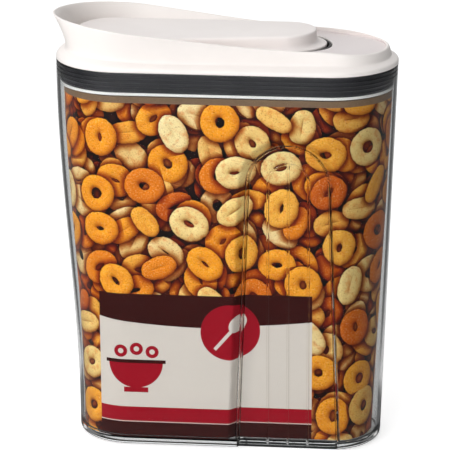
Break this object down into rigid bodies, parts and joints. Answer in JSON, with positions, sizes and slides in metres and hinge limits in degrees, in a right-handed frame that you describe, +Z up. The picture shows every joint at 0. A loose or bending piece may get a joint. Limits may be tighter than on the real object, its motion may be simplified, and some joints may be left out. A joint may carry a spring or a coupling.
{
  "type": "cereal container with flip spout",
  "caption": "Tall clear food container with hand grips, a white lid with a raised pouring spout, and a flap hinged over its pour opening.",
  "frame": {"origin": "on the face that the container stands on, under the middle of its rim", "axes": "+Z up, +X along the wide side away from the spout, -Y the front face"},
  "size_m": [0.2383, 0.096, 0.303],
  "materials": {
    "clear_plastic": "clear, polished, moulded",
    "printed_card": "glossy printed card",
    "white_plastic": "satin, moulded",
    "slate_rubber": "satin",
    "black_rubber": "satin",
    "pin_steel": "turned"
  },
  "bodies": {
    "container": {"container_body": "clear_plastic", "printed_sleeve": "printed_card"},
    "lid": {"lid_shell": "white_plastic", "lid_liner": "white_plastic", "main_gasket": "slate_rubber", "heel_seal": "black_rubber", "hinge_pin_front": "pin_steel", "hinge_pin_rear": "pin_steel"},
    "flap": {"flap_shell": "white_plastic", "flap_underplate": "white_plastic", "flap_seal": "slate_rubber"}
  },
  "joints": [
    {"name": "lid_lift", "type": "slide", "parent": "container", "child": "lid", "axis": [0, 0, 1], "range_m": [0, 0.06]},
    {"name": "flap_hinge", "type": "hinge", "parent": "lid", "child": "flap", "pos_m": [0.046, 0, 0.2818], "axis": [0, 1, 0], "range_deg": [0, 80]}
  ]
}
